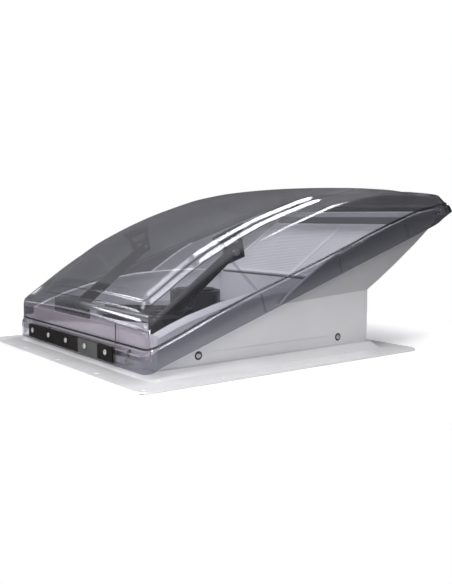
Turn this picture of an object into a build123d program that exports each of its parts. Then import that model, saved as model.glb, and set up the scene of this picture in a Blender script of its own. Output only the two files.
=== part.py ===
"""Powered roof vent with a tilting smoked lid and a swinging rain shield, lid open.

Millimetres.  Origin: middle of the flange underside, on the roof.  +Z is up, +Y runs from the
hinge end (low) to the raised end, and X is the width.  All parts are placed as they sit with
the lid fully open.
"""
import os
from math import atan2, cos, degrees, radians, sin

from build123d import *

os.makedirs("parts", exist_ok=True)

# ---------------------------------------------------------------- driving dimensions
FLANGE_SIDE = 483.0        # 19 in square roof flange
FLANGE_THICK = 3.0
FLANGE_CORNER = 15.0
HOLE_PITCH = 116.0         # roof screw holes, five along each edge
HOLE_REACH = 232.0         # corner holes from the centre lines
HOLE_R = 2.4
LEDGE_Z = 12.3             # where the housing wall stands on the flange
ROOF_OPENING = 356.0       # 14 in roof opening

BASE_HALF = 187.5          # housing, half its outer width
WALL = 3.0
DECK_Z = 34.0
SCREW_REACH = 124.0        # housing side screws from the centre line
SCREW_Z = 24.5

DUCT_R = 151.5             # fan duct bore radius
FAN_R = 148.0              # 12 in fan

HINGE_Y, HINGE_Z = -197.0, 17.0
OPEN_ANGLE = 18.1          # lid tilt when fully open
RIM_Y, RIM_Z = -195.0, 17.0  # front end of the lid's rim line

LID_HALF = 203.0           # 16 in wide lid
LID_FRONT_Y = -207.0
LID_LENGTH = 596.0         # rim front end to the rear face, along the rim
CAP_START = 583.0          # where the dark end cap takes over from the dome
LID_WALL = 2.5

ARM_PIVOT = (-137.0, 62.0)   # y, z
ARM_TIP = (-18.0, 150.0)
ARM_X = 120.0
ARM_THICK = 5.0
ARM_RATIO = 1.45           # arm turn per lid turn
ROLLER_R = 5.0
PIN_FIT = 0.05             # radial clearance of a turning fit
GAP = 0.35                 # clearance of a sliding fit

SHIELD_INNER = 188.3       # rain shield side panels, inner face
SHIELD_THICK = 2.0
SHIELD_PIVOT = (566.0, 16.0)   # along the rim, above the rim
RIVET_R = 3.0

# Lid cross sections: distance along the rim, then the heights above the rim of the ledge,
# shoulder, foot of the raised panel, edge of the raised panel and crown.
LID_STATIONS = [
    (-30, 23, 36, 44, 46, 50),
    (6, 23, 47, 54, 56.5, 58.5),
    (26, 23, 52.5, 60, 63, 66.5),
    (34, 23, 55, 62, 73.5, 77),
    (60, 24.5, 63.5, 68.5, 81, 84.5),
    (100, 26.5, 75.5, 79, 91.5, 96),
    (140, 28.5, 85, 87.5, 100, 105.5),
    (175, 29.5, 91.5, 92.5, 104.5, 110.5),
    (210, 30, 94.5, 97, 107.8, 114),
    (260, 30, 96, 100.5, 110, 116),
    (330, 31, 96, 100, 108.5, 115),
    (385, 32.5, 92, 95.5, 103, 109),
    (440, 33, 84, 87, 93.5, 98),
    (493, 32, 70, 72, 76.5, 80),
    (540, 27, 54, 55.5, 60, 63),
    (583, 20.5, 36, 37.5, 42, 45),
    (602, 17, 28.5, 30, 34, 37),
]

# Housing side wall top edge: y, z
WALL_TOP = [(-187.5, 57), (-166, 66), (-137, 76), (-90, 88.5), (-41, 97), (-1, 102),
            (58, 104.5), (120, 104.5), (187.5, 99)]


# ---------------------------------------------------------------- small builders
def slab(x0, x1, y0, y1, z0, z1):
    """Rectangular block between two corners."""
    block = Box(x1 - x0, y1 - y0, z1 - z0)
    return Pos((x0 + x1) / 2, (y0 + y1) / 2, (z0 + z1) / 2) * block


def rod_x(x0, x1, y, z, r):
    """Round bar along X."""
    return Pos((x0 + x1) / 2, y, z) * (Rot(0, 90, 0) * Cylinder(r, x1 - x0))


def rod_y(y0, y1, x, z, r):
    """Round bar along Y."""
    return Pos(x, (y0 + y1) / 2, z) * (Rot(90, 0, 0) * Cylinder(r, y1 - y0))


def rod_z(z0, z1, x, y, r):
    """Round bar along Z."""
    return Pos(x, y, (z0 + z1) / 2) * Cylinder(r, z1 - z0)


def tube_z(z0, z1, r_in, r_out):
    """Round ring about the Z axis."""
    return rod_z(z0, z1, 0, 0, r_out) - rod_z(z0 - 1, z1 + 1, 0, 0, r_in)


def side_plate(outline, x0, x1):
    """Flat plate with a (y, z) outline, from x0 to x1."""
    face = Plane.YZ * Polygon(*outline, align=None)
    return Pos(x0, 0, 0) * extrude(face, x1 - x0, dir=(1, 0, 0))


def square_prism(half, radius, z0, z1):
    """Square column with rounded corners about the Z axis."""
    face = RectangleRounded(2 * half, 2 * half, radius)
    return Pos(0, 0, z0) * extrude(face, z1 - z0, dir=(0, 0, 1))


def mirrored(shape):
    """The same shape on the far side."""
    return mirror(shape, about=Plane.YZ)


def both_sides(shape):
    """A shape and its mirror image as separate solids."""
    return Compound(children=[shape, mirrored(shape)])


def group(shapes):
    """Separate solids kept in one file."""
    return Compound(children=list(shapes))


def on_lid(shape):
    """Move a shape from lid coordinates (x, along rim, above rim) to the open lid."""
    return Location((0, RIM_Y, RIM_Z), (OPEN_ANGLE, 0, 0)) * shape


def lid_point(along, above):
    """Where a point of the lid is when it is open, as (y, z)."""
    a = radians(OPEN_ANGLE)
    return (RIM_Y + along * cos(a) - above * sin(a), RIM_Z + along * sin(a) + above * cos(a))


def turned(point, centre, angle):
    """A (y, z) point turned about a centre, degrees, right-handed about +X."""
    a = radians(angle)
    dy, dz = point[0] - centre[0], point[1] - centre[1]
    return (centre[0] + dy * cos(a) - dz * sin(a), centre[1] + dy * sin(a) + dz * cos(a))


# ---------------------------------------------------------------- roof flange
def hole_positions():
    """All sixteen roof screw holes."""
    steps = [-2, -1, 0, 1, 2]
    edge = [(i * HOLE_PITCH, s * HOLE_REACH) for i in steps for s in (-1, 1)]
    return edge + [(y, x) for x, y in edge if abs(x) < HOLE_REACH]


def mounting_flange():
    plate = square_prism(FLANGE_SIDE / 2, FLANGE_CORNER, 0, FLANGE_THICK)
    foot = Plane.XY.offset(FLANGE_THICK) * RectangleRounded(410, 410, 14)
    top = Plane.XY.offset(LEDGE_Z) * RectangleRounded(386, 386, 9)
    plate += loft([foot, top])
    upstand = square_prism(BASE_HALF - WALL - 0.1, 4, FLANGE_THICK, 31)
    plate += upstand
    plate -= square_prism(ROOF_OPENING / 2 + 3, 6, FLANGE_THICK, 40)
    plate -= square_prism(ROOF_OPENING / 2, 8, -1, 40)
    for x, y in hole_positions():
        plate -= rod_z(-1, 4, x, y, HOLE_R)
        plate -= Pos(x, y, FLANGE_THICK - 0.75) * Cone(HOLE_R, HOLE_R + 1.5, 1.5)
    return plate - side_screw_holes() - rail_screw_holes()


def side_screw_holes():
    """Holes for the screws that hold the housing to the flange."""
    holes = []
    for s in (-SCREW_REACH, SCREW_REACH):
        holes.append(rod_y(-200, 200, s, SCREW_Z, 2.1))
        holes.append(rod_x(-200, 200, s, SCREW_Z, 2.1))
    return holes


def side_screws():
    """Eight pan-head screws, two in each housing side."""
    head = rod_x(BASE_HALF, BASE_HALF + 0.5, 0, 0, 4.3)
    shank = rod_x(BASE_HALF - 9, BASE_HALF, 0, 0, 2.0)
    screw = head + shank - slab(BASE_HALF + 0.2, BASE_HALF + 1, -0.4, 0.4, -2.6, 2.6)
    screws = []
    for quarter in range(4):
        for s in (-SCREW_REACH, SCREW_REACH):
            screws.append(Rot(0, 0, 90 * quarter) * (Pos(0, s, SCREW_Z) * screw))
    return group(screws)


# ---------------------------------------------------------------- fixed housing
def side_wall():
    """Near side wall: upright, with its top edge leaning inwards."""
    outer = BASE_HALF
    inner = BASE_HALF - WALL
    sections = []
    for y, z in WALL_TOP:
        outline = [(inner, LEDGE_Z), (outer, LEDGE_Z), (outer, z - 7), (outer - 6.5, z),
                   (outer - 8.8, z - 2.2), (inner, z - 8)]
        plane = Plane(origin=(0, y, 0), x_dir=(1, 0, 0), z_dir=(0, -1, 0))
        sections.append(plane * Polygon(*outline, align=None))
    wall = loft(sections, ruled=True)
    groove = slab(outer - 0.6, outer + 1, -111, 111, 27.3, 28.7)
    rail = side_plate([(-130, 62), (-130, 60.5), (-4, 88.5), (-4, 90)], outer - 0.1, outer + 0.6)
    return wall - groove + rail


def base_housing():
    """White housing: four walls and a deck with the round duct opening."""
    walls = side_wall()
    walls += mirrored(side_wall())
    inner = BASE_HALF - WALL
    walls += slab(-BASE_HALF, BASE_HALF, -BASE_HALF, -inner, LEDGE_Z, 56)
    walls += slab(-BASE_HALF, BASE_HALF, inner, BASE_HALF, LEDGE_Z, 96)
    deck = slab(-inner, inner, -inner, inner, DECK_Z, DECK_Z + 2.5)
    deck -= rod_z(30, 40, 0, 0, DUCT_R + 4)
    deck -= rod_z(30, 40, *KNOB_XY, 4.5)
    deck -= rod_z(30, 40, *CABLE_XY, 4.5)
    housing = walls + deck
    corner = BASE_HALF - 4
    for sx in (-1, 1):
        for sy in (-1, 1):
            edge = slab(0, 5, 0, 5, 0, 130) - rod_z(-1, 131, 0, 0, 4)
            edge = Rot(0, 0, degrees(atan2(sy, sx)) - 45) * edge
            housing -= Pos(sx * corner, sy * corner, 0) * edge
    for x in (-60, 60):
        housing -= slab(x - 9, x + 9, BASE_HALF - 8, BASE_HALF + 5, 38.5, 43)
    return housing - side_screw_holes() - rail_screw_holes()


KNOB_XY = (143.0, -146.0)
CABLE_XY = (-140.0, 128.0)
RAIL_SCREWS = (-84.0, 0.0, 66.0)


def rail_screw_holes():
    return [rod_y(-195, -180, x, 20.5, 1.6) for x in RAIL_SCREWS]


# ---------------------------------------------------------------- fan
def fan_shroud():
    """Round duct ring with a collar that sits on the deck."""
    ring = tube_z(14, 54, DUCT_R, DUCT_R + 3)
    collar = tube_z(DECK_Z + 3.5, DECK_Z + 6, DUCT_R + 3, DUCT_R + 15)
    shroud = ring + collar
    for x, y in polar_points(DUCT_R + 10, 4, 20):
        shroud -= rod_z(30, 45, x, y, 1.8)
    for x, y in polar_points(DUCT_R + 1.5, 4, 45):
        shroud -= rod_z(48, 60, x, y, 1.1)
    return shroud


def polar_points(radius, count, start):
    """Evenly spaced points on a circle."""
    points = []
    for i in range(count):
        a = radians(start + 360 / count * i)
        points.append((radius * cos(a), radius * sin(a)))
    return points


def deck_gasket():
    """Foam ring between the duct collar and the deck."""
    return tube_z(DECK_Z + 2.5, DECK_Z + 3.5, DUCT_R + 4.5, DUCT_R + 15)


def shroud_screws():
    screws = []
    for x, y in polar_points(DUCT_R + 10, 4, 20):
        screws.append(rod_z(DECK_Z + 6, DECK_Z + 8, x, y, 3.5)
                      + rod_z(DECK_Z + 3.6, DECK_Z + 6, x, y, 1.7))
    return group(screws)


def motor_bracket():
    """Four-legged bridge over the duct that carries the motor."""
    hub = rod_z(54, 57, 0, 0, 44)
    for angle in (45, 135):
        leg = slab(-DUCT_R - 3, DUCT_R + 3, -8, 8, 54, 57)
        rib = slab(-DUCT_R + 6, DUCT_R - 6, -1.2, 1.2, 57, 61)
        hub += Rot(0, 0, angle) * (leg + rib)
    hub -= rod_z(50, 62, 0, 0, 12)
    hub -= rod_z(57, 62, 0, 0, 42)
    for x, y in polar_points(DUCT_R + 1.5, 4, 45):
        hub -= rod_z(50, 62, x, y, 1.3)
    for x, y in polar_points(26, 4, 0):
        hub -= rod_z(50, 62, x, y, 1.8)
    return hub


def bracket_screws():
    screws = []
    for x, y in polar_points(DUCT_R + 1.5, 4, 45):
        screws.append(rod_z(57, 58.8, x, y, 3.0) + rod_z(50, 57, x, y, 1.1))
    return group(screws)


def motor_can():
    """Flat permanent-magnet motor with a bearing nose."""
    can = rod_z(57, 86, 0, 0, 39)
    can += rod_z(86, 89, 0, 0, 30)
    can += rod_z(52, 57, 0, 0, 11)
    for x, y in polar_points(39, 6, 15):
        can -= rod_z(63, 80, x, y, 4)
    for x, y in polar_points(26, 4, 0):
        can -= rod_z(50, 62, x, y, 1.5)
    return can - rod_z(50, 76, 0, 0, 4 + PIN_FIT)


def motor_screws():
    screws = []
    for x, y in polar_points(26, 4, 0):
        screws.append(rod_z(52.2, 54, x, y, 3.0) + rod_z(54, 61, x, y, 1.5))
    return group(screws)


def motor_shaft():
    return rod_z(21, 74, 0, 0, 4)


def fan_blade():
    """One twisted blade, hub to tip."""
    sections = []
    for radius, width, pitch, sweep in ((29, 30, 42, 0), (80, 44, 31, 2), (FAN_R, 52, 23, 6)):
        plane = Plane(origin=(radius, sweep, 35), x_dir=(0, 1, 0), z_dir=(1, 0, 0))
        sections.append(plane * (Rot(0, 0, pitch) * Rectangle(width, 2.2)))
    return loft(sections, ruled=True) & rod_z(10, 60, 0, 0, FAN_R)


def fan_rotor():
    """Ten-blade fan with a cup hub."""
    rotor = rod_z(22, 48, 0, 0, 32) - rod_z(40, 50, 0, 0, 28)
    blade = fan_blade()
    for i in range(10):
        rotor += Rot(0, 0, 36 * i) * blade
    return rotor - rod_z(10, 60, 0, 0, 4)


def hub_nut():
    nut = Pos(0, 0, 18) * extrude(RegularPolygon(7, 6), 4, dir=(0, 0, 1))
    return nut - rod_z(20.99, 30, 0, 0, 4)


# ---------------------------------------------------------------- ceiling side
def ceiling_plate():
    """Inner trim plate around the fan opening, with the keypad and knob openings."""
    plate = square_prism(177.5, 7, 2, 4.5)
    plate += square_prism(177.5, 7, 4.5, 12) - square_prism(175, 5, 4, 13)
    plate -= rod_z(0, 10, 0, 0, 149)
    plate -= slab(-167.5, -120.5, 120.5, 167.5, 0, 10)
    plate -= rod_z(0, 10, *KNOB_XY, 19)
    for x, y in corner_points(164):
        plate -= rod_z(0, 10, x, y, 2)
    return plate


def corner_points(reach):
    """Two trim screw positions, at the corners that hold nothing else."""
    return [(reach, reach), (-reach, -reach)]


def trim_screws():
    screws = []
    for x, y in corner_points(164):
        screws.append(rod_z(0.7, 2, x, y, 4) + rod_z(2, DECK_Z - 1, x, y, 1.8))
    return group(screws)


def screen_frame():
    """Clip-in ring that holds the insect screen."""
    frame = tube_z(4.5, 7, 142, 156)
    frame += tube_z(1.5, 4.5, 142, 148.6)
    for angle in (30, 150, 270):
        frame += Rot(0, 0, angle) * slab(143, 147, -14, 14, 7, 9.5)
    return frame


def insect_screen():
    """Rib grid of the insect screen; the fine mesh between its ribs is left out."""
    ribs = []
    for i in range(-9, 10):
        ribs.append(slab(-145, 145, i * 15 - 1.3, i * 15 + 1.3, 7, 8.2))
        ribs.append(slab(i * 15 - 1.3, i * 15 + 1.3, -145, 145, 7, 8.2))
    grid = ribs[0]
    grid += ribs[1:]
    return grid & rod_z(6, 9, 0, 0, 142.9)


def control_box():
    """Circuit box above the keypad."""
    box = slab(-172, -116, 116, 172, 10, 31)
    box -= slab(-170, -118, 118, 170, 12, 29)
    box = box - slab(-166, -122, 122, 166, 5, 14)
    box += rod_z(31, 33, *CABLE_XY, 5)
    return box - rod_z(28, 34, *CABLE_XY, 2.2)


def keypad_bezel():
    bezel = slab(-167.3, -120.7, 120.7, 167.3, 2.2, 5.2)
    for x, y in BUTTON_XY.values():
        bezel -= slab(x - 7.4, x + 7.4, y - 7.4, y + 7.4, 0, 8)
    return bezel


BUTTON_XY = {
    "button_power": (-154.5, 154.5),
    "button_mode": (-133.5, 154.5),
    "button_faster": (-154.5, 133.5),
    "button_slower": (-133.5, 133.5),
}


def keypad_button(x, y):
    """Square key with a flange that keeps it behind the bezel."""
    key = slab(x - 7, x + 7, y - 7, y + 7, 1.0, 5.6)
    key = chamfer(key.faces().sort_by(Axis.Z)[0].edges(), 0.8)
    return key + slab(x - 8.6, x + 8.6, y - 8.6, y + 8.6, 5.6, 6.6)


def lift_knob():
    """Hand knob that drives the lid lift, with its spindle."""
    x, y = KNOB_XY
    knob = rod_z(1.2, 4.5, x, y, 16) + rod_z(4.5, 12, x, y, 17.5)
    for dx, dy in polar_points(18.6, 12, 0):
        knob -= rod_z(0, 13, x + dx, y + dy, 3)
    return knob + rod_z(12, 46, x, y, 3)


# ---------------------------------------------------------------- lid lift
def gear_housing():
    """Gear housing of the lift: bearing for the cross shaft, driven by the knob."""
    y, z = ARM_PIVOT
    box = slab(127, 163, y - 24, y + 20, DECK_Z + 2.5, 71)
    box -= slab(126, 164, y + 8, y + 21, 62, 72)
    box -= rod_x(126, 164, y, z, 5 + PIN_FIT)
    return box - rod_z(30, 50, *KNOB_XY, 3 + PIN_FIT)


def far_bearing():
    """Bearing block for the far end of the cross shaft."""
    y, z = ARM_PIVOT
    box = slab(-163, -127, y - 24, y + 20, DECK_Z + 2.5, 71)
    box -= slab(-164, -126, y + 8, y + 21, 62, 72)
    return box - rod_x(-164, -126, y, z, 5 + PIN_FIT)


def cross_shaft():
    y, z = ARM_PIVOT
    return rod_x(-160, 160, y, z, 5)


def lift_arm():
    """Near lift arm, from the cross shaft to the roller in the lid track."""
    length = ((ARM_TIP[0] - ARM_PIVOT[0]) ** 2 + (ARM_TIP[1] - ARM_PIVOT[1]) ** 2) ** 0.5
    tilt = degrees(atan2(ARM_TIP[1] - ARM_PIVOT[1], ARM_TIP[0] - ARM_PIVOT[0]))
    half = ARM_THICK / 2
    bar = side_plate([(0, -9.5), (length, -7), (length, 7), (0, 9.5)], -half, half)
    bar += rod_x(-half - 2, half + 2, 0, 0, 11)
    bar += rod_x(-half, half, length, 0, 8)
    bar -= side_plate([(24, -5), (length - 22, -3.6), (length - 22, 3.6), (24, 5)], -9, 9)
    web = side_plate([(20, -5.5), (length - 18, -4.2), (length - 18, 4.2), (20, 5.5)], -0.9, 0.9)
    bar += web
    bar -= rod_x(-10, 10, 0, 0, 5)
    bar -= rod_x(-10, 10, length, 0, 2.5)
    return Pos(ARM_X, *ARM_PIVOT) * (Rot(tilt, 0, 0) * bar)


def arm_roller():
    """Pin and roller at the free end of the near arm."""
    y, z = ARM_TIP
    pin = rod_x(ARM_X - 4, ARM_X + 13, y, z, 2.5)
    return pin + rod_x(ARM_X + 5, ARM_X + 10, y, z, ROLLER_R)


def roller_path():
    """Roller centre in lid coordinates, from open to closed."""
    path = []
    for i in range(7):
        lid = -OPEN_ANGLE * i / 6
        y, z = turned(ARM_TIP, ARM_PIVOT, ARM_RATIO * lid)
        y, z = turned((y, z), (HINGE_Y, HINGE_Z), -lid)
        path.append(turned((y - RIM_Y, z - RIM_Z), (0, 0), -OPEN_ANGLE))
    return path


def lift_track():
    """Slotted plate under the dome that the near roller runs in."""
    path = roller_path()
    low = min(p[0] for p in path)
    high = max(p[0] for p in path)
    middle = (min(p[1] for p in path) + max(p[1] for p in path)) / 2
    spread = max(p[1] for p in path) - middle
    reach = ROLLER_R + spread + GAP
    plate = side_plate([(low - 12, middle - 11), (high + 12, middle - 11), (high + 16, 92),
                        (high + 30, 120), (low - 44, 120), (low - 16, 92)],
                       ARM_X + 6, ARM_X + 9)
    plate &= lid_cavity()
    plate -= side_plate([(low - 9, middle + 12), (high + 9, middle + 12), (high + 11, 92),
                         (low - 11, 92)], ARM_X, ARM_X + 15)
    slot = slab(ARM_X, ARM_X + 15, low, high, middle - reach, middle + reach)
    slot += rod_x(ARM_X, ARM_X + 15, low, middle, reach)
    slot += rod_x(ARM_X, ARM_X + 15, high, middle, reach)
    return on_lid(plate - slot)


# ---------------------------------------------------------------- lid
def lid_section(station, inset):
    """Closed outline of the lid across its width, moved in by inset."""
    along, ledge, shoulder, foot, edge, crown = station
    t = inset
    half = [
        (0, crown - t),
        (80, crown - 0.25 * (crown - edge) - t),
        (146 - 0.3 * t, edge - t),
        (150 - 0.5 * t, edge - 1.6 - t),
        (156 - 0.7 * t, foot + 1 - t),
        (160 - 0.6 * t, foot - t),
        (184 - 0.7 * t, (shoulder + foot) / 2 + 0.5 - t),
        (195.5 - t, shoulder - 7.5 - 0.4 * t),
        (199.5 - t, ledge + 1.5 - 0.2 * t),
        (LID_HALF - 0.4 - t, ledge - 0.7 * t),
        (LID_HALF - t, -16 - 6 * t),
    ]
    outline = half + [(-x, z) for x, z in reversed(half) if x > 0]
    plane = Plane(origin=(0, along, 0), x_dir=(1, 0, 0), z_dir=(0, -1, 0))
    return plane * Polygon(*outline, align=None)


def lid_body(inset):
    """Solid lid form: lofted along its length, then trimmed to its rounded plan outline."""
    body = on_lid(loft([lid_section(s, inset) for s in LID_STATIONS], ruled=True))
    half = LID_HALF - inset
    front = rounded_plan(half, LID_FRONT_Y + inset, 700, 24 - inset, -60, 400)
    rear = rounded_plan(half, -200, LID_LENGTH - inset, 20 - inset, -200, 200)
    return body & front & on_lid(rear)


def rounded_plan(half, y0, y1, radius, z0, z1):
    """Upright column with a rounded rectangular plan."""
    face = Pos(0, (y0 + y1) / 2, 0) * RectangleRounded(2 * half, y1 - y0, radius)
    return Pos(0, 0, z0) * extrude(face, z1 - z0, dir=(0, 0, 1))


def lid_cavity():
    """Space under the dome, in lid coordinates."""
    return loft([lid_section(s, LID_WALL) for s in LID_STATIONS], ruled=True)


def below_rim():
    """Everything under the rim line."""
    outline = [(-60, -80), (-60, -3), (-8, -3), (8, 0), (546, 0), (566, 4), (600, 9), (700, 9),
               (700, -80)]
    return on_lid(side_plate(outline, -260, 260))


def lid_shell():
    return lid_body(0) - lid_body(LID_WALL) - below_rim()


def lid_ribs():
    """Upright stiffeners inside the side walls."""
    ribs = []
    for along in (181, 329, 482):
        ribs.append(slab(198.2, 200.7, along - 1.2, along + 1.2, 1, 27))
    wall_core = loft([lid_section(s, 1.2) for s in LID_STATIONS[6:9]], ruled=True)
    slanted = side_plate([(179, 33), (182, 33), (152, 80), (149, 80)], 192.4, 200)
    ribs.append(slanted & wall_core)
    return on_lid(group(ribs))


def lid_dome(shell):
    """Smoked dome with its stiffeners and screw holes."""
    dome = shell - on_lid(slab(-250, 250, CAP_START, 700, -100, 200))
    dome += lid_ribs().solids()
    dome += mirrored(lid_ribs()).solids()
    y, z = lid_point(*SHIELD_PIVOT)
    dome -= rod_x(-220, 220, y, z, RIVET_R)
    for x in HINGE_SCREW_X:
        dome -= rod_y(-215, -200, x, 24.5, 2.1)
    return dome


def rear_cap(shell):
    """Dark end cap across the raised end of the lid."""
    return shell & on_lid(slab(-250, 250, CAP_START, 700, -100, 200))


def cap_lip():
    """Drip lip along the end cap's lower edge."""
    lip = slab(-182, 182, LID_LENGTH - 9, LID_LENGTH - 2.4, 10, 12.5)
    return on_lid(lip)


# ---------------------------------------------------------------- lid hinge
HINGE_SCREW_X = (-142.5, -83.0, -23.5, 36.0, 95.5)
LID_KNUCKLES = {"hinge_bar_long": [(-152, -126), (-72, -46), (-18, 8)],
                "hinge_bar_short": [(84, 106)]}
BASE_KNUCKLES = [(-124, -100), (-44, -20), (20, 44), (108, 132)]
KNUCKLE_R = 4.5
PIN_R = 2.5
BAR_Y = LID_FRONT_Y + LID_WALL


def hinge_bar(x0, x1, knuckles):
    """Leaf screwed inside the lid's front wall, with its knuckles."""
    bar = slab(x0, x1, BAR_Y, BAR_Y + 2, 13, 33)
    for a, b in knuckles:
        bar += rod_x(a, b, HINGE_Y, HINGE_Z, KNUCKLE_R)
        bar += slab(a, b, BAR_Y + 1, HINGE_Y, 14.5, 19.5)
    bar -= rod_x(x0 - 10, x1 + 10, HINGE_Y, HINGE_Z, PIN_R + PIN_FIT)
    for x in HINGE_SCREW_X:
        if x0 < x < x1:
            bar -= rod_y(-215, -200, x, 24.5, 2.1)
    return bar


def hinge_screws():
    """Five oval-head screws through the lid's front wall."""
    screws = []
    for x in HINGE_SCREW_X:
        head = rod_y(LID_FRONT_Y - 1.2, LID_FRONT_Y, x, 24.5, 4)
        slot = slab(x - 0.5, x + 0.5, LID_FRONT_Y - 2, LID_FRONT_Y - 0.7, 21.5, 27.5)
        screws.append(head - slot + rod_y(LID_FRONT_Y, BAR_Y + 2.6, x, 24.5, 2.1))
    return group(screws)


def hinge_rail():
    """Base leaf of the hinge, screwed to the housing front."""
    face = -BASE_HALF
    rail = slab(-134, 134, face - 2.5, face, 12.8, 26)
    for a, b in BASE_KNUCKLES:
        rail += rod_x(a, b, HINGE_Y, HINGE_Z, KNUCKLE_R)
        rail += slab(a, b, HINGE_Y, face - 1, 14, 20)
    rail -= rod_x(-200, 200, HINGE_Y, HINGE_Z, PIN_R)
    for x in (-SCREW_REACH, SCREW_REACH):
        rail -= rod_y(face - 3, face + 1, x, SCREW_Z, 5.2)
    return rail - rail_screw_holes()


def rail_screws():
    screws = []
    for x in RAIL_SCREWS:
        head = rod_y(-BASE_HALF - 4, -BASE_HALF - 2.5, x, 20.5, 3)
        screws.append(head + rod_y(-BASE_HALF - 2.5, -BASE_HALF + 5, x, 20.5, 1.6))
    return group(screws)


def hinge_pin():
    return rod_x(-155, 135, HINGE_Y, HINGE_Z, PIN_R)


# ---------------------------------------------------------------- rain shield
def shield_outline():
    """Side panel outline (y, z) with the lid open."""
    top = []
    for along in (345, 385, 430, 470, 510, 545):
        top.append(lid_point(along, 28 if along < 520 else 24))
    pivot = lid_point(*SHIELD_PIVOT)
    tail = [(pivot[0] + 6, pivot[1] + 5), (pivot[0] + 7, pivot[1] - 6)]
    lower = [(327.5, 184.5), (289, 157), (243, 127), (207, 105), (181, 90.5)]
    front = [(100, 86), (8, 80), (24, 93.5), (46, 107), (75, 125), (100, 139)]
    return front + top + tail + lower


def shield_side():
    """Near side panel, with the pivot hole near its tail."""
    panel = side_plate(shield_outline(), SHIELD_INNER, SHIELD_INNER + SHIELD_THICK)
    y, z = lid_point(*SHIELD_PIVOT)
    return panel - rod_x(150, 220, y, z, RIVET_R + PIN_FIT)


SHIELD_FOOT = (195.0, 98.6)     # y, z at the mesh's lower end
SHIELD_TAIL = (326.0, 183.6)    # y, z at the mesh's upper end


def along_mesh(a, b, lift, thick, x0, x1):
    """Plank lying along the sloped outlet, between the fractions a and b of its length."""
    dy = SHIELD_TAIL[0] - SHIELD_FOOT[0]
    dz = SHIELD_TAIL[1] - SHIELD_FOOT[1]
    length = (dy * dy + dz * dz) ** 0.5
    plank = slab(x0, x1, a * length, b * length, lift, lift + thick)
    place = Location((0, *SHIELD_FOOT), (degrees(atan2(dz, dy)), 0, 0))
    return place * plank


def shield_frame():
    """Frame of the outlet grille, joined to both side panels."""
    half = SHIELD_INNER
    frame = along_mesh(0, 0.05, 0, 3, -half, half)
    frame += along_mesh(0.95, 1, 0, 3, -half, half)
    for x0, x1 in ((-half, -half + 8), (half - 8, half), (-4, 4)):
        frame += along_mesh(0.04, 0.96, 0, 3, x0, x1)
    return frame


def shield_mesh():
    """Perforated outlet grille: rows of slots between thin bars."""
    half = SHIELD_INNER - 8
    bars = []
    for x0, x1 in ((-half, -4), (4, half)):
        for i in range(1, 12):
            middle = 0.05 + 0.9 * i / 12
            bars.append(along_mesh(middle - 0.008, middle + 0.008, 0.6, 1.6, x0, x1))
    for i in range(-11, 12):
        if i != 0:
            bars.append(along_mesh(0.05, 0.95, 0.6, 1.6, i * 15.5 - 1.2, i * 15.5 + 1.2))
    grid = bars[0]
    grid += bars[1:]
    return grid


def shield_header():
    """Stiffening bar across the tail of the shield."""
    y, z = lid_point(SHIELD_PIVOT[0] - 26, SHIELD_PIVOT[1] + 2)
    bar = slab(-SHIELD_INNER, SHIELD_INNER, -7, 7, -1.5, 1.5)
    bar += slab(-SHIELD_INNER, SHIELD_INNER, -7, -4.5, -1.5, 7)
    return Pos(0, y, z) * (Rot(OPEN_ANGLE, 0, 0) * bar)


def pivot_rivets():
    """Shouldered rivets that hang the shield from the lid's side walls."""
    y, z = lid_point(*SHIELD_PIVOT)
    skin = LID_HALF - 0.2
    rivet = rod_x(skin, skin + 1.7, y, z, 5.5)
    rivet += rod_x(SHIELD_INNER - 2.5, skin, y, z, RIVET_R)
    rivet += rod_x(SHIELD_INNER - 3.5, SHIELD_INNER - 0.4, y, z, 5)
    rivet += rod_x(SHIELD_INNER + SHIELD_THICK + 0.4, skin - LID_WALL - 0.3, y, z, 5)
    return both_sides(rivet)


# ---------------------------------------------------------------- wiring
def motor_cable():
    """Lead from the circuit box to the motor, lying along a bracket leg."""
    x, y = CABLE_XY
    path = Polyline((x, y, 26), (x, y, 62), (-104, 116, 64), (-42, 48, 64), (-26, 30, 68))
    path = fillet_path(path)
    start = Plane(origin=(x, y, 26), z_dir=(0, 0, 1))
    return sweep(start * Circle(2), path=path)


def fillet_path(line):
    """Rounded version of a bent wire path."""
    return FilletPolyline(*[line @ t for t in cable_stops(line)], radius=7)


def cable_stops(line):
    """Corner positions along the wire path, as fractions of its length."""
    lengths = [edge.length for edge in line.edges()]
    stops = [0.0]
    for length in lengths:
        stops.append(stops[-1] + length / sum(lengths))
    return stops


# ---------------------------------------------------------------- write every part
shell = lid_shell()
near_arm = lift_arm()
near_roller = arm_roller()
near_track = lift_track()

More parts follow.
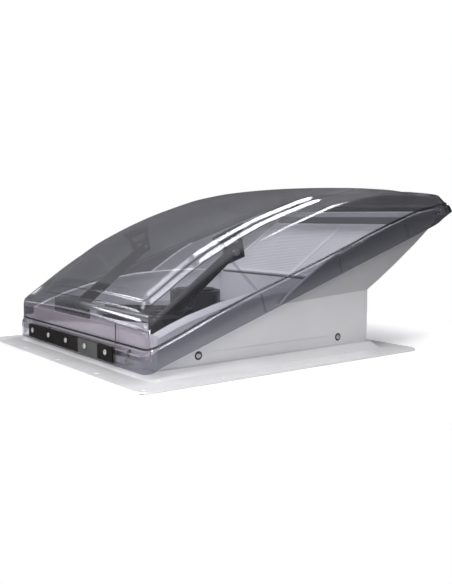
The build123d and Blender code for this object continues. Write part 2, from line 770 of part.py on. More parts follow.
parts = {
    "mounting_flange": mounting_flange(),
    "base_housing": base_housing(),
    "housing_screws": side_screws(),
    "fan_shroud": fan_shroud(),
    "deck_gasket": deck_gasket(),
    "shroud_screws": shroud_screws(),
    "motor_bracket": motor_bracket(),
    "bracket_screws": bracket_screws(),
    "motor_can": motor_can(),
    "motor_screws": motor_screws(),
    "motor_cable": motor_cable(),
    "motor_shaft": motor_shaft(),
    "fan_rotor": fan_rotor(),
    "hub_nut": hub_nut(),
    "ceiling_plate": ceiling_plate(),
    "trim_screws": trim_screws(),
    "screen_frame": screen_frame(),
    "insect_screen": insect_screen(),
    "control_box": control_box(),
    "keypad_bezel": keypad_bezel(),
    "lift_knob": lift_knob(),
    "gear_housing": gear_housing(),
    "far_bearing": far_bearing(),
    "cross_shaft": cross_shaft(),
    "lift_arm_near": near_arm,
    "lift_arm_far": mirrored(near_arm),
    "arm_rollers": both_sides(near_roller),
    "lift_track_near": near_track,
    "lift_track_far": mirrored(near_track),
    "lid_dome": lid_dome(shell),
    "rear_cap": rear_cap(shell) + cap_lip(),
    "hinge_bar_long": hinge_bar(-157.5, 14.6, LID_KNUCKLES["hinge_bar_long"]),
    "hinge_bar_tab": hinge_bar(15, 72.5, []),
    "hinge_bar_short": hinge_bar(73, 113.7, LID_KNUCKLES["hinge_bar_short"]),
    "hinge_screws": hinge_screws(),
    "hinge_rail": hinge_rail(),
    "rail_screws": rail_screws(),
    "hinge_pin": hinge_pin(),
    "shield_side_near": shield_side(),
    "shield_side_far": mirrored(shield_side()),
    "shield_frame": shield_frame(),
    "shield_mesh": shield_mesh(),
    "shield_header": shield_header(),
    "pivot_rivets": pivot_rivets(),
}
for name, (x, y) in BUTTON_XY.items():
    parts[name] = keypad_button(x, y)

for name, shape in parts.items():
    export_step(shape, f"parts/{name}.step")
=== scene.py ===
"""Powered roof vent: the visible model, its materials, light and camera.

Lengths inside the builders are millimetres and are turned into metres by make().
"""
import math

import bmesh
import bpy
import numpy as np
from mathutils import Matrix, Vector


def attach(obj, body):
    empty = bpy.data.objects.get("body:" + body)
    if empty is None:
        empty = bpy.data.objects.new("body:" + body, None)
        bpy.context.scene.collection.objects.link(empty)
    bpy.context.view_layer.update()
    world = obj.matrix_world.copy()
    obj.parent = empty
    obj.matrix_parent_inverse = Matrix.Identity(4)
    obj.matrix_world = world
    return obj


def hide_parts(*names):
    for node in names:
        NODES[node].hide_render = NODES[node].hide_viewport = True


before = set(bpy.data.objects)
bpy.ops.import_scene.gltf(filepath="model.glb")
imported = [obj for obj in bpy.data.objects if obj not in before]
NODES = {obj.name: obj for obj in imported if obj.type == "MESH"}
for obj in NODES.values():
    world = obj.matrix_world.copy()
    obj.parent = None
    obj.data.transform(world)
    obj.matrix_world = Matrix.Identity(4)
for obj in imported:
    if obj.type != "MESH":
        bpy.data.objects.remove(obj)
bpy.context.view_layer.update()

MM = 0.001
OPEN = math.radians(18.1)      # lid tilt at rest
RIM_Y, RIM_Z = -195.0, 17.0    # front end of the lid's rim line


# ------------------------------------------------------------------ materials
def blank(name):
    """New empty material: returns the material, its node tree and its output."""
    mat = bpy.data.materials.new(name)
    mat.use_nodes = True
    nt = mat.node_tree
    nt.nodes.clear()
    return mat, nt, nt.nodes.new("ShaderNodeOutputMaterial")


def tree(name):
    """New node material: returns the material, its node tree and its shader."""
    mat, nt, out = blank(name)
    bsdf = nt.nodes.new("ShaderNodeBsdfPrincipled")
    nt.links.new(bsdf.outputs[0], out.inputs["Surface"])
    return mat, nt, bsdf


def noise(nt, scale, detail=4.0, rough=0.55, stretch=None):
    """Noise texture in object space, in metres."""
    coord = nt.nodes.new("ShaderNodeTexCoord")
    tex = nt.nodes.new("ShaderNodeTexNoise")
    tex.inputs["Scale"].default_value = scale
    tex.inputs["Detail"].default_value = detail
    tex.inputs["Roughness"].default_value = rough
    if stretch is None:
        nt.links.new(coord.outputs["Object"], tex.inputs["Vector"])
    else:
        mapping = nt.nodes.new("ShaderNodeMapping")
        mapping.inputs["Scale"].default_value = stretch
        nt.links.new(coord.outputs["Object"], mapping.inputs["Vector"])
        nt.links.new(mapping.outputs[0], tex.inputs["Vector"])
    return tex.outputs["Fac"]


def ramp(nt, fac, low, high, a=0.35, b=0.65):
    """Map a factor to a range of numbers."""
    node = nt.nodes.new("ShaderNodeMapRange")
    node.inputs["From Min"].default_value = a
    node.inputs["From Max"].default_value = b
    node.inputs["To Min"].default_value = low
    node.inputs["To Max"].default_value = high
    nt.links.new(fac, node.inputs["Value"])
    return node.outputs[0]


def blend_colour(nt, fac, a, b):
    """Mix two colours by a factor."""
    node = nt.nodes.new("ShaderNodeMix")
    node.data_type = "RGBA"
    for value, socket in ((a, node.inputs[6]), (b, node.inputs[7])):
        if isinstance(value, tuple):
            socket.default_value = (*value, 1)
        else:
            nt.links.new(value, socket)
    nt.links.new(fac, node.inputs[0])
    return node.outputs[2]


def add_bump(nt, bsdf, height, strength, distance):
    """Fine relief from a height factor."""
    bump = nt.nodes.new("ShaderNodeBump")
    bump.inputs["Strength"].default_value = strength
    bump.inputs["Distance"].default_value = distance
    nt.links.new(height, bump.inputs["Height"])
    nt.links.new(bump.outputs[0], bsdf.inputs["Normal"])


def scuffs(nt):
    """1 on scattered short rubs, 0 elsewhere."""
    return ramp(nt, noise(nt, 38.0, 8.0, 0.75, stretch=(1, 1, 5)), 0.0, 1.0, 0.62, 0.74)


def plastic(name, colour, shade, rough, grain=900.0, bump=0.12, wear=None, gloss=0.5):
    """Moulded plastic or paint: uneven colour, fine grain, a few scuffs."""
    mat, nt, bsdf = tree(name)
    broad = ramp(nt, noise(nt, 9.0, 5.0), 0.0, 1.0)
    tone = blend_colour(nt, broad, colour, shade)
    if wear is not None:
        tone = blend_colour(nt, scuffs(nt), tone, wear)
    nt.links.new(tone, bsdf.inputs["Base Color"])
    fine = noise(nt, grain, 3.0)
    nt.links.new(ramp(nt, noise(nt, 40.0, 4.0), rough - 0.06, rough + 0.08), bsdf.inputs["Roughness"])
    bsdf.inputs["Specular IOR Level"].default_value = gloss
    bsdf.inputs["IOR"].default_value = 1.48
    add_bump(nt, bsdf, fine, bump, 0.0002)
    return mat


def steel(name, colour=(0.60, 0.60, 0.61), rough=0.28):
    """Drawn metal with streaks along it."""
    mat, nt, bsdf = tree(name)
    streak = noise(nt, 60.0, 6.0, stretch=(1, 12, 12))
    nt.links.new(blend_colour(nt, ramp(nt, streak, 0.0, 1.0), colour,
                              tuple(0.72 * c for c in colour)), bsdf.inputs["Base Color"])
    nt.links.new(ramp(nt, streak, rough - 0.08, rough + 0.14), bsdf.inputs["Roughness"])
    bsdf.inputs["Metallic"].default_value = 1.0
    add_bump(nt, bsdf, noise(nt, 1400.0, 2.0), 0.08, 0.0001)
    return mat


SKIN_POWER = 3.4   # how sharply smoked plastic turns opaque towards a grazing view


def smoke(name, share, colour, tint, rough):
    """See-through smoked plastic: tinted straight-through light under a glossy skin."""
    mat, nt, out = blank(name)
    clear = nt.nodes.new("ShaderNodeBsdfTransparent")
    clear.inputs["Color"].default_value = (*tint, 1)
    body = nt.nodes.new("ShaderNodeBsdfPrincipled")
    broad = ramp(nt, noise(nt, 7.0, 5.0), 0.0, 1.0)
    nt.links.new(blend_colour(nt, broad, colour, tuple(1.25 * c for c in colour)),
                 body.inputs["Base Color"])
    nt.links.new(ramp(nt, noise(nt, 90.0, 5.0), rough, rough + 0.05), body.inputs["Roughness"])
    body.inputs["Metallic"].default_value = 0.8
    add_bump(nt, body, noise(nt, 9.0, 1.0), 0.015, 0.002)
    weight = nt.nodes.new("ShaderNodeLayerWeight")
    weight.inputs["Blend"].default_value = 0.5
    power = nt.nodes.new("ShaderNodeMath")
    power.operation = "POWER"
    power.inputs[1].default_value = SKIN_POWER
    nt.links.new(weight.outputs["Facing"], power.inputs[0])
    total = nt.nodes.new("ShaderNodeMath")
    total.operation = "ADD"
    total.use_clamp = True
    nt.links.new(power.outputs[0], total.inputs[0])
    nt.links.new(ramp(nt, noise(nt, 14.0, 6.0), share * 0.92, share * 1.08), total.inputs[1])
    mix = nt.nodes.new("ShaderNodeMixShader")
    nt.links.new(total.outputs[0], mix.inputs[0])
    nt.links.new(clear.outputs[0], mix.inputs[1])
    nt.links.new(body.outputs[0], mix.inputs[2])
    nt.links.new(mix.outputs[0], out.inputs["Surface"])
    return mat


WHITE = plastic("white_moulding", (0.735, 0.735, 0.75), (0.695, 0.695, 0.71), 0.38,
                wear=(0.78, 0.78, 0.79))
FLANGE = plastic("white_flange_moulding", (0.71, 0.71, 0.72), (0.67, 0.67, 0.68), 0.34,
                 wear=(0.75, 0.75, 0.75))
# Shield moulding: the housing's white plastic coloured darker, as painted shade for the shade under
# the lid's overhang.
SHIELD = plastic("shield_moulding_painted_shade", (0.50, 0.50, 0.515), (0.46, 0.46, 0.475), 0.42,
                 wear=(0.55, 0.55, 0.56))
GRILLE = plastic("white_grille_moulding", (0.74, 0.74, 0.75), (0.70, 0.70, 0.71), 0.42,
                 wear=(0.78, 0.78, 0.78))
TAB = plastic("grey_tab_moulding", (0.065, 0.068, 0.065), (0.05, 0.052, 0.05), 0.45,
              wear=(0.10, 0.10, 0.10), gloss=0.2)
# White bead: the shield's own white coloured lighter, as a painted highlight where its leading edge
# catches light from above.
EDGE_HIGHLIGHT_WHITE = plastic("white_moulding_painted_highlight", (0.88, 0.88, 0.89), (0.84, 0.84, 0.85), 0.3,
               wear=(0.90, 0.90, 0.90))
BLACK = plastic("black_nylon", (0.016, 0.016, 0.018), (0.024, 0.024, 0.026), 0.5, 1200.0, 0.2,
                wear=(0.04, 0.04, 0.042), gloss=0.25)
HINGE = plastic("black_hinge_paint", (0.010, 0.009, 0.009), (0.016, 0.014, 0.013), 0.6, 1200.0, 0.2,
                wear=(0.02, 0.018, 0.017), gloss=0.04)
MOTOR = plastic("satin_black_paint", (0.022, 0.022, 0.025), (0.035, 0.035, 0.04), 0.36, 1600.0, 0.08,
                wear=(0.10, 0.10, 0.10))
GREY = plastic("grey_moulding", (0.24, 0.25, 0.26), (0.20, 0.21, 0.22), 0.45, wear=(0.30, 0.30, 0.31))
FOAM = plastic("foam_strip", (0.05, 0.05, 0.05), (0.08, 0.08, 0.08), 0.9, 500.0, 0.6)
CABLE = plastic("cable_jacket", (0.03, 0.03, 0.03), (0.05, 0.05, 0.05), 0.6, 800.0, 0.2)
WIRE = plastic("screen_wire_coat", (0.09, 0.09, 0.1), (0.14, 0.14, 0.15), 0.5, 800.0, 0.2)
STEEL = steel("stainless_steel")
ZINC = steel("zinc_plated_steel", (0.55, 0.55, 0.53), 0.34)
SMOKE = smoke("smoked_dome_plastic", 0.07, (0.50, 0.50, 0.53), (0.95, 0.95, 0.975), 0.03)
# Front wall: the dome's own plastic with a darker tint, painted shade that dims the lit housing front
# seen through it.
FRONT = smoke("smoked_plastic_front_painted_shade", 0.07, (0.40, 0.40, 0.42), (0.83, 0.805, 0.84), 0.05)
SKIRT = smoke("smoked_skirt_plastic", 0.03, (0.38, 0.38, 0.41), (0.67, 0.67, 0.70), 0.05)
SMOKE_DARK = smoke("smoked_cap_plastic", 0.55, (0.06, 0.06, 0.065), (0.7, 0.7, 0.72), 0.1)


# ------------------------------------------------------------------ mesh helpers
def make(name, verts, faces, mat, body, nodes=(), smooth=True, bevel=0.0, angle=35.0):
    """Object from millimetre vertices that rides on a body and stands for CAD nodes."""
    mesh = bpy.data.meshes.new(name)
    mesh.from_pydata([tuple(c * MM for c in v) for v in verts], [], faces)
    mesh.validate()
    mesh.materials.append(mat)
    bm = bmesh.new()
    bm.from_mesh(mesh)
    bmesh.ops.recalc_face_normals(bm, faces=bm.faces)
    bm.to_mesh(mesh)
    bm.free()
    obj = bpy.data.objects.new(name, mesh)
    bpy.context.scene.collection.objects.link(obj)
    if bevel:
        mod = obj.modifiers.new("bevel", "BEVEL")
        mod.width = bevel * MM
        mod.segments = 2
        mod.limit_method = "ANGLE"
        mod.angle_limit = math.radians(angle)
        mod.harden_normals = True
    if smooth:
        mesh.shade_smooth()
        if not bevel:
            mesh.set_sharp_from_angle(angle=math.radians(angle))
    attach(obj, body)
    if nodes:
        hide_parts(*nodes)
    return obj


class Shape:
    """Collects vertices and faces of one piece."""

    def __init__(self):
        self.verts = []
        self.faces = []

    def add(self, verts, faces):
        base = len(self.verts)
        self.verts.extend(tuple(v) for v in verts)
        self.faces.extend(tuple(i + base for i in f) for f in faces)
        return self

    def rings(self, rings, cap_start=False, cap_end=False, loop=False):
        """Skin a list of equal closed rings of points."""
        n = len(rings[0])
        verts = [p for ring in rings for p in ring]
        faces = []
        last = len(rings) if loop else len(rings) - 1
        for r in range(last):
            a, b = r * n, ((r + 1) % len(rings)) * n
            for i in range(n):
                j = (i + 1) % n
                faces.append((a + i, a + j, b + j, b + i))
        if cap_start:
            faces.append(tuple(range(n))[::-1])
        if cap_end:
            faces.append(tuple(range((len(rings) - 1) * n, len(rings) * n)))
        return self.add(verts, faces)

    def moved(self, matrix):
        """Move everything collected so far."""
        self.verts = [tuple(matrix @ Vector(v)) for v in self.verts]
        return self

    def merge(self, other, matrix):
        """Add another shape, moved by a matrix."""
        return self.add([matrix @ Vector(v) for v in other.verts], other.faces)

    def box(self, x0, x1, y0, y1, z0, z1):
        verts = [(x, y, z) for z in (z0, z1) for y in (y0, y1) for x in (x0, x1)]
        faces = [(0, 2, 3, 1), (4, 5, 7, 6), (0, 1, 5, 4), (2, 6, 7, 3), (0, 4, 6, 2), (1, 3, 7, 5)]
        return self.add(verts, faces)

    def lathe(self, profile, count):
        """Turn a closed (radius, z) profile about Z."""
        rings = []
        for k in range(count):
            a = 2 * math.pi * k / count
            rings.append([(r * math.cos(a), r * math.sin(a), z) for r, z in profile])
        return self.rings(rings, loop=True)

    def tube(self, path, radius, count):
        """Round bar along a list of points."""
        path = [Vector(p) for p in path]
        rings = []
        side = None
        for i, p in enumerate(path):
            way = (path[min(i + 1, len(path) - 1)] - path[max(i - 1, 0)]).normalized()
            if side is None:
                side = way.orthogonal()
            side = (side - way * side.dot(way)).normalized()
            up = way.cross(side)
            rings.append([p + radius * (math.cos(a) * side + math.sin(a) * up)
                          for a in (2 * math.pi * k / count for k in range(count))])
        return self.rings(rings, cap_start=True, cap_end=True)

    def plate(self, outline, x0, x1):
        """Flat plate with a (y, z) outline between two x positions."""
        n = len(outline)
        verts = [(x, y, z) for x in (x0, x1) for y, z in outline]
        faces = [tuple(range(n)), tuple(range(n, 2 * n))[::-1]]
        faces += [(i, i + n, (i + 1) % n + n, (i + 1) % n) for i in range(n)]
        return self.add(verts, faces)


def at(x, y, z):
    """Matrix that moves by x, y and z."""
    return Matrix.Translation((x, y, z))


def turn(angle, axis):
    """Matrix that turns by degrees about an axis."""
    return Matrix.Rotation(math.radians(angle), 4, axis)


LID_PLACE = at(0, RIM_Y, RIM_Z) @ Matrix.Rotation(OPEN, 4, "X")


def lid_point(along, above):
    """Where a point of the lid is at rest, as (y, z)."""
    p = LID_PLACE @ Vector((0, along, above))
    return p.y, p.z


def pchip(xs, ys):
    """Smooth curve through points that never overshoots them."""
    xs, ys = np.array(xs, float), np.array(ys, float)
    h, d = np.diff(xs), np.diff(ys) / np.diff(xs)
    m = np.zeros(len(xs))
    for i in range(1, len(xs) - 1):
        if d[i - 1] * d[i] > 0:
            w1, w2 = 2 * h[i] + h[i - 1], h[i] + 2 * h[i - 1]
            m[i] = (w1 + w2) / (w1 / d[i - 1] + w2 / d[i])
    m[0], m[-1] = d[0], d[-1]

    def curve(x):
        x = min(max(x, xs[0]), xs[-1])
        i = int(min(max(np.searchsorted(xs, x) - 1, 0), len(h) - 1))
        t = (x - xs[i]) / h[i]
        return ((1 + 2 * t) * (1 - t) ** 2 * ys[i] + t * (1 - t) ** 2 * h[i] * m[i]
                + t * t * (3 - 2 * t) * ys[i + 1] + t * t * (t - 1) * h[i] * m[i + 1])

    return curve


def smoothstep(x):
    """Soft step from 0 to 1."""
    x = min(max(x, 0.0), 1.0)
    return x * x * (3 - 2 * x)


# ------------------------------------------------------------------ lid
LID_HALF = 203.0
LID_FRONT = -12.0          # rim position of the front face
LID_REAR = 595.8           # rim position of the rear face
CAP_FROM = 583.0           # where the dark end cap takes over from the dome
LID_WALL = 2.5
TOP_INSET = 19.0           # from the plan outline in to the edge of the dome's top
CROWN_HALF = 157.0         # half width of the crowned middle of the top
SHOULDER_WIDTH = 30.0
PANEL_HALF, PANEL_FRONT, PANEL_CORNER = 157.5, 24.5, 16.0
PANEL_BEVEL = 6.8          # width of each of the two bevels round the raised panel
SECOND_BEVEL = 10.4        # where the inner one starts
# heights above the rim, along it: ledge, shoulder, foot and edge of the raised panel, crown
ALONG = (-30, 6, 26, 60, 100, 140, 175, 210, 260, 330, 385, 440, 493, 540, 583, 602)
LEDGE = pchip((-30, -12, 4, 26, 60, 100, 140, 175, 260, 330, 385, 440, 493, 540, 583, 602),
              (18.8, 18.8, 22.8, 23.6, 25.2, 27.8, 29, 29.8, 30, 31, 32.5, 33, 32, 27, 20.5, 17))
SHOULDER = pchip(ALONG, (36, 47, 52.5, 63.5, 75.5, 85, 91.5, 94.5,
                         96, 96, 92, 84, 70, 54, 36, 28.5))
FOOT = pchip(ALONG, (44, 54, 60, 68.5, 79, 87.5, 92.5, 97,
                     100.5, 100, 95.5, 87, 72, 55.5, 37.5, 30))
EDGE = pchip(ALONG, (53, 66, 72.5, 81, 91.5, 100, 104.5, 107.8,
                     110, 108.5, 102.6, 92.8, 76, 60, 42, 34))
CROWN = pchip(ALONG, (57, 69, 76, 84.5, 96, 105.5, 110.5, 113.6,
                      115.4, 114.4, 108.5, 97.3, 79.5, 63, 45, 37))
# the front wall's own inset, for each inset of the other walls
FRONT_INSET = pchip((0, 3.3, 7.3, 8.0, 9.4, 12, 15.5, 19), (0, 2.9, 3.2, 4.0, 5.8, 9.2, 13.8, 18))
RIM = pchip((-30, -8, 8, 300, 546, 566, 602), (-3, -3, 0, 0, 0, 4, 9))


def bevel_ramp(t):
    """Straight ramp from 0 to 1 with slightly rounded ends."""
    return sum(min(max(t + shift, 0.0), 1.0) for shift in (-0.05, 0.0, 0.05)) / 3


def panel_step(x, along):
    """Height share of the raised panel: two bevels inside its outline."""
    dx, du = PANEL_HALF - abs(x), along - PANEL_FRONT
    if dx < PANEL_CORNER and du < PANEL_CORNER:
        inside = PANEL_CORNER - math.hypot(PANEL_CORNER - dx, PANEL_CORNER - du)
    else:
        inside = min(dx, du)
    outer = bevel_ramp(inside / PANEL_BEVEL)
    inner = bevel_ramp((inside - SECOND_BEVEL) / PANEL_BEVEL)
    return 0.5 * outer + 0.5 * inner


def top_height(x, along):
    """Height of the dome's upper surface above the rim."""
    foot, shoulder = FOOT(along), SHOULDER(along)
    raise_by = EDGE(along) - foot
    crown = CROWN(along) - raise_by
    ax = abs(x)
    if ax <= CROWN_HALF:
        base = foot + (crown - foot) * (1 - (ax / CROWN_HALF) ** 2)
    else:
        t = (ax - CROWN_HALF) / SHOULDER_WIDTH
        base = foot + (shoulder - foot) * t * t * 0.8
    return base + raise_by * panel_step(x, along)


def lid_columns():
    """Grid positions across the top, close together at the panel's bevels."""
    half = [0, 20, 42, 64, 86, 106, 122, 131, 136, 139, 139.95, 140.65, 142.4, 144.6, 146.75,
            147.45, 148.2, 149.7, 150.35, 151.05, 153, 155.2, 157.15, 157.85, 159, 162, 169,
            175, 180, 184]
    return [-x for x in reversed(half[1:])] + half


def lid_rows():
    """Grid positions along the top, close together at the panel's front bevels."""
    rows = [6] + list(np.arange(8, 25.5, 0.9)) + [27, 30, 34, 39, 45, 52]
    rows += list(np.arange(60, 560, 10.0)) + [562, 568, 573, 577, 579]
    return rows


def lid_shear(flat, above):
    """Move the front and rear faces to their slopes."""
    front = 1 - smoothstep((flat - LID_FRONT) / 170.0)
    rear = smoothstep((flat - 470.0) / 126.0)
    return flat + front * above * math.tan(OPEN) - rear * max(above - 9, 0) * 0.40


def perimeter_point(col, row, cols, rows, inset):
    """Plan position of a boundary vertex after moving the outline out to an inset."""
    x0, x1, y0, y1 = cols[0], cols[-1], rows[0], rows[-1]
    half, lo, hi = LID_HALF - inset, LID_FRONT + FRONT_INSET(inset), LID_REAR - inset
    corner_r = max((18.0 if row < len(rows) / 2 else 9.0) - inset, 3.0)
    x = cols[col] / x1 * half
    y = lo + (rows[row] - y0) / (y1 - y0) * (hi - lo)
    y = {0: lo, len(rows) - 1: hi}.get(row, y)
    cx = min(max(x, -half + corner_r), half - corner_r)
    cy = min(max(y, lo + corner_r), hi - corner_r)
    dx, dy = x - cx, y - cy
    if dx and dy:
        m, n = max(abs(dx), abs(dy)), math.hypot(dx, dy)
        x, y = cx + dx / n * m, cy + dy / n * m
    return x, y


def lid_edge(nc, nr):
    """Grid positions in order round the boundary of the top."""
    return ([(c, 0) for c in range(nc)] + [(nc - 1, r) for r in range(1, nr)]
            + [(c, nr - 1) for c in range(nc - 2, -1, -1)]
            + [(0, r) for r in range(nr - 2, 0, -1)])


def lid_surface():
    """Outer skin of the lid: a grid over the top and rings down its walls."""
    cols, rows = lid_columns(), lid_rows()
    nc, nr = len(cols), len(rows)
    verts, faces, flats = [], [], []

    def put(x, flat, above):
        verts.append((x, lid_shear(flat, above), above))
        flats.append(flat)
        return len(verts) - 1

    grid = {}
    for r in range(nr):
        for c in range(nc):
            x, flat = cols[c], rows[r]
            if r in (0, nr - 1) or c in (0, nc - 1):
                x, flat = perimeter_point(c, r, cols, rows, TOP_INSET)
            grid[c, r] = put(x, flat, top_height(x, lid_shear(flat, SHOULDER(flat))))
    for r in range(nr - 1):
        for c in range(nc - 1):
            faces.append((grid[c, r], grid[c + 1, r], grid[c + 1, r + 1], grid[c, r + 1]))
    edge = lid_edge(nc, nr)
    ring = [grid[e] for e in edge]
    tops = [verts[i][2] for i in ring]

    # inset from the outline, how far down from the shoulder or up from the ledge
    levels = [(15.5, "top", 0.4), (12.0, "top", 1.6), (9.4, "top", 3.6), (8.0, "top", 6.4),
              (7.3, "top", 10.0), (0, "wall", 0.72), (0, "wall", 0.45), (0, "wall", 0.2),
              (3.9, "ledge", 2.4), (3.3, "ledge", 1.0), (2.6, "ledge", 0.35), (1.2, "ledge", 0.1),
              (0.5, "ledge", -0.5), (0.2, "ledge", -1.8), (0.15, "band", 0.6), (0.1, "band", 0.3),
              (0.0, "rim", 0.8), (0.0, "rim", 0.0)]
    front, skirt = [], []
    for inset, kind, value in levels:
        side = skirt if kind in ("band", "rim") else faces
        fresh = []
        for k, (c, r) in enumerate(edge):
            flat0 = flats[ring[k]]
            ledge, rim = LEDGE(flat0), RIM(flat0)
            high = tops[k]
            if kind == "top":
                span = max(high - ledge - 3, 1.0)
                above, move = high - min(value, 0.45 * span), inset
            elif kind == "wall":
                above = ledge + 2.4 + max(high - ledge - 13, 0.5) * value
                move = 3.9 + (7.3 - 3.9) * value
            elif kind == "ledge":
                above, move = ledge + value, inset
            elif kind == "band":
                above, move = rim + (ledge - rim) * value, inset
            else:
                above, move = rim + value, inset
            x, flat = perimeter_point(c, r, cols, rows, move)
            fresh.append(put(x, flat, above))
        for k in range(len(edge)):
            j = (k + 1) % len(edge)
            in_front = kind in ("wall", "ledge") and k < nc - 1
            (front if in_front else side).append((ring[k], fresh[k], fresh[j], ring[j]))
        ring = fresh
    return verts, faces, front, skirt, flats


def lid_part(name, verts, faces, mat, nodes):
    """One piece of the lid's skin, given its wall thickness inwards."""
    used = sorted({i for f in faces for i in f})
    index = {old: new for new, old in enumerate(used)}
    placed = [tuple(LID_PLACE @ Vector(verts[i])) for i in used]
    obj = make(name, placed, [tuple(index[i] for i in f) for f in faces], mat, "lid", nodes,
               angle=24)
    mod = obj.modifiers.new("wall", "SOLIDIFY")
    mod.thickness = LID_WALL * MM
    mod.offset = -1
    return obj


def lid():
    """Dome, front wall, skirt and end cap, cut from the one skin."""
    verts, upper, front, skirt, flats = lid_surface()

    def before_cap(face):
        return sum(flats[i] for i in face) / len(face) < CAP_FROM

    lid_part("dome_shell", verts, [f for f in upper if before_cap(f)], SMOKE,
             ["lid_dome"])
    # The front wall gets the darker tint of painted shade.
    lid_part("dome_front", verts, front, FRONT, ["lid_dome"])
    lid_part("dome_skirt", verts, [f for f in skirt if before_cap(f)], SKIRT,
             ["lid_dome"])
    lid_part("dome_end_cap", verts, [f for f in upper + skirt if not before_cap(f)],
             SMOKE_DARK, ["rear_cap"])


def lid_ledge_painted_shade():
    """Dark bead along the inner corner of the lid's ledge: painted shade for the dark line that the
    thick step shows there.
    """
    cols, rows = lid_columns(), lid_rows()
    # inset from the outline, height above the ledge
    section = [(3.9, 0.6), (2.5, 0.7), (2.3, 1.4), (2.7, 2.3), (3.6, 3.0), (4.4, 3.1)]
    rings = []
    for move, lift in section:
        ring = []
        for c, r in lid_edge(len(cols), len(rows)):
            flat0 = perimeter_point(c, r, cols, rows, TOP_INSET)[1]
            x, flat = perimeter_point(c, r, cols, rows, move)
            above = LEDGE(flat0) + lift
            ring.append((x, lid_shear(flat, above), above))
        rings.append(ring)
    shape = Shape().rings(rings, loop=True).moved(LID_PLACE)
    make("dome_ledge_painted_shade", shape.verts, shape.faces, SMOKE_DARK, "lid")


def lid_ribs():
    """Upright ribs inside the skirt and a slanting one on each wall."""
    shape = Shape()
    for side in (-1, 1):
        for along in (181, 329, 482):
            x = sorted((side * 198.0, side * 200.4))
            shape.box(*x, along - 1.2, along + 1.2, 1.0, 26.0)
        slant = Shape().plate([(177, 33), (180, 33), (153, 84), (150, 84)], 193.0, 195.6)
        shape.merge(slant, Matrix.Scale(side, 4, (1, 0, 0)))
    shape.moved(LID_PLACE)
    make("dome_ribs", shape.verts, shape.faces, SMOKE, "lid", smooth=False)


def panel_path(inset):
    """Line round the raised panel, an inset inside its outline."""
    half, front, corner = PANEL_HALF - inset, PANEL_FRONT + inset, PANEL_CORNER - inset
    side = [(half, u) for u in np.arange(565.0, front + corner + 2, -10.0)]
    arc = [(half - corner + corner * math.cos(a), front + corner - corner * math.sin(a))
           for a in np.linspace(0, math.pi / 2, 7)]
    across = [(x, front) for x in np.arange(half - corner - 8, 0, -12.0)]
    right = side + arc + across
    return right + [(0.0, front)] + [(-x, u) for x, u in reversed(right)]


def panel_painted_shade_lines():
    """Dark tubes sunk just under the surface along the foot and the middle of the panel's step:
    painted shade for the dark lines beside the bevels' highlights.
    """
    shape = Shape()
    for inset, sink in ((-0.2, 0.5), (8.4, 0.6)):
        path = []
        for x, along in panel_path(inset):
            lo, hi = -30.0, 600.0
            while hi - lo > 0.01:
                flat = (lo + hi) / 2
                lo, hi = (flat, hi) if lid_shear(flat, SHOULDER(flat)) < along else (lo, flat)
            above = top_height(x, along)
            path.append(LID_PLACE @ Vector((x, lid_shear(flat, above), above - sink)))
        shape.tube(path, 0.55, 8)
    make("dome_panel_painted_shade_lines", shape.verts, shape.faces, SMOKE_DARK, "lid")


def front_notch():
    """Upright mould line on the lid's front wall."""
    path = [Vector((120.5, -205.6, z)) for z in (38.5, 45, 52, 59, 65)]
    shape = Shape().tube(path, 0.7, 8)
    make("dome_front_line", shape.verts, shape.faces, SMOKE_DARK, "lid")


lid()
lid_ledge_painted_shade()
lid_ribs()
panel_painted_shade_lines()
front_notch()


# ------------------------------------------------------------------ screws and hinge leaves
HOUSING_HALF = 187.5
SCREW_REACH, SCREW_Z = 124.0, 24.5
HINGE_SCREWS = (-142.5, -83.0, -23.5, 36.0, 95.5)
LEAF_FACE, LEAF_BACK = -207.6, -202.5
LEAF_LOW, LEAF_HIGH = 13.0, 33.0
LEAF_SCREW_SEAT = -207.7


def screw(radius, height, shank, length):
    """Pan-head screw with a cross recess, head on z = 0 and shank below it."""
    count = 32
    angles = [2 * math.pi * k / count for k in range(count)]

    def circle(r, z):
        return [(r * math.cos(a), r * math.sin(a), z) for a in angles]

    def cross(scale, z):
        rings = []
        for a in angles:
            r = radius * scale * (0.2 + 0.4 * abs(math.cos(2 * a)) ** 3)
            rings.append((r * math.cos(a), r * math.sin(a), z))
        return rings

    rings = [circle(shank * 0.6, -length), circle(shank, -length + 1), circle(shank, 0),
             circle(radius, 0), circle(radius, 0.35 * height), circle(0.94 * radius, 0.68 * height),
             circle(0.8 * radius, 0.92 * height), circle(0.66 * radius, height),
             cross(1.0, height), cross(0.8, 0.3 * height)]
    return Shape().rings(rings, cap_start=True, cap_end=True)


def housing_screws():
    """Two screws in each side of the housing, each in a black ring of painted shade for the shadow
    gap round its head.
    """
    shape, painted_shade_rings = Shape(), Shape()
    painted_shade_ring = [(3.1, 0.0), (3.2, 0.3), (5.3, 0.3), (5.7, 0.0)]
    for quarter in range(4):
        spin = turn(90 * quarter, "Z")
        for s in (-SCREW_REACH, SCREW_REACH):
            place = spin @ at(HOUSING_HALF, s, SCREW_Z) @ turn(90, "Y")
            tilt = turn(31 * quarter + s, "Z")
            shape.merge(screw(3.6, 1.1, 2.0, 8.5), place @ tilt)
            painted_shade_rings.merge(Shape().lathe(painted_shade_ring, 32), place)
    make("side_screws", shape.verts, shape.faces, STEEL, "base", ["housing_screws"],
         angle=40)
    make("side_screw_painted_shade_rings", painted_shade_rings.verts, painted_shade_rings.faces, BLACK, "base", angle=40)


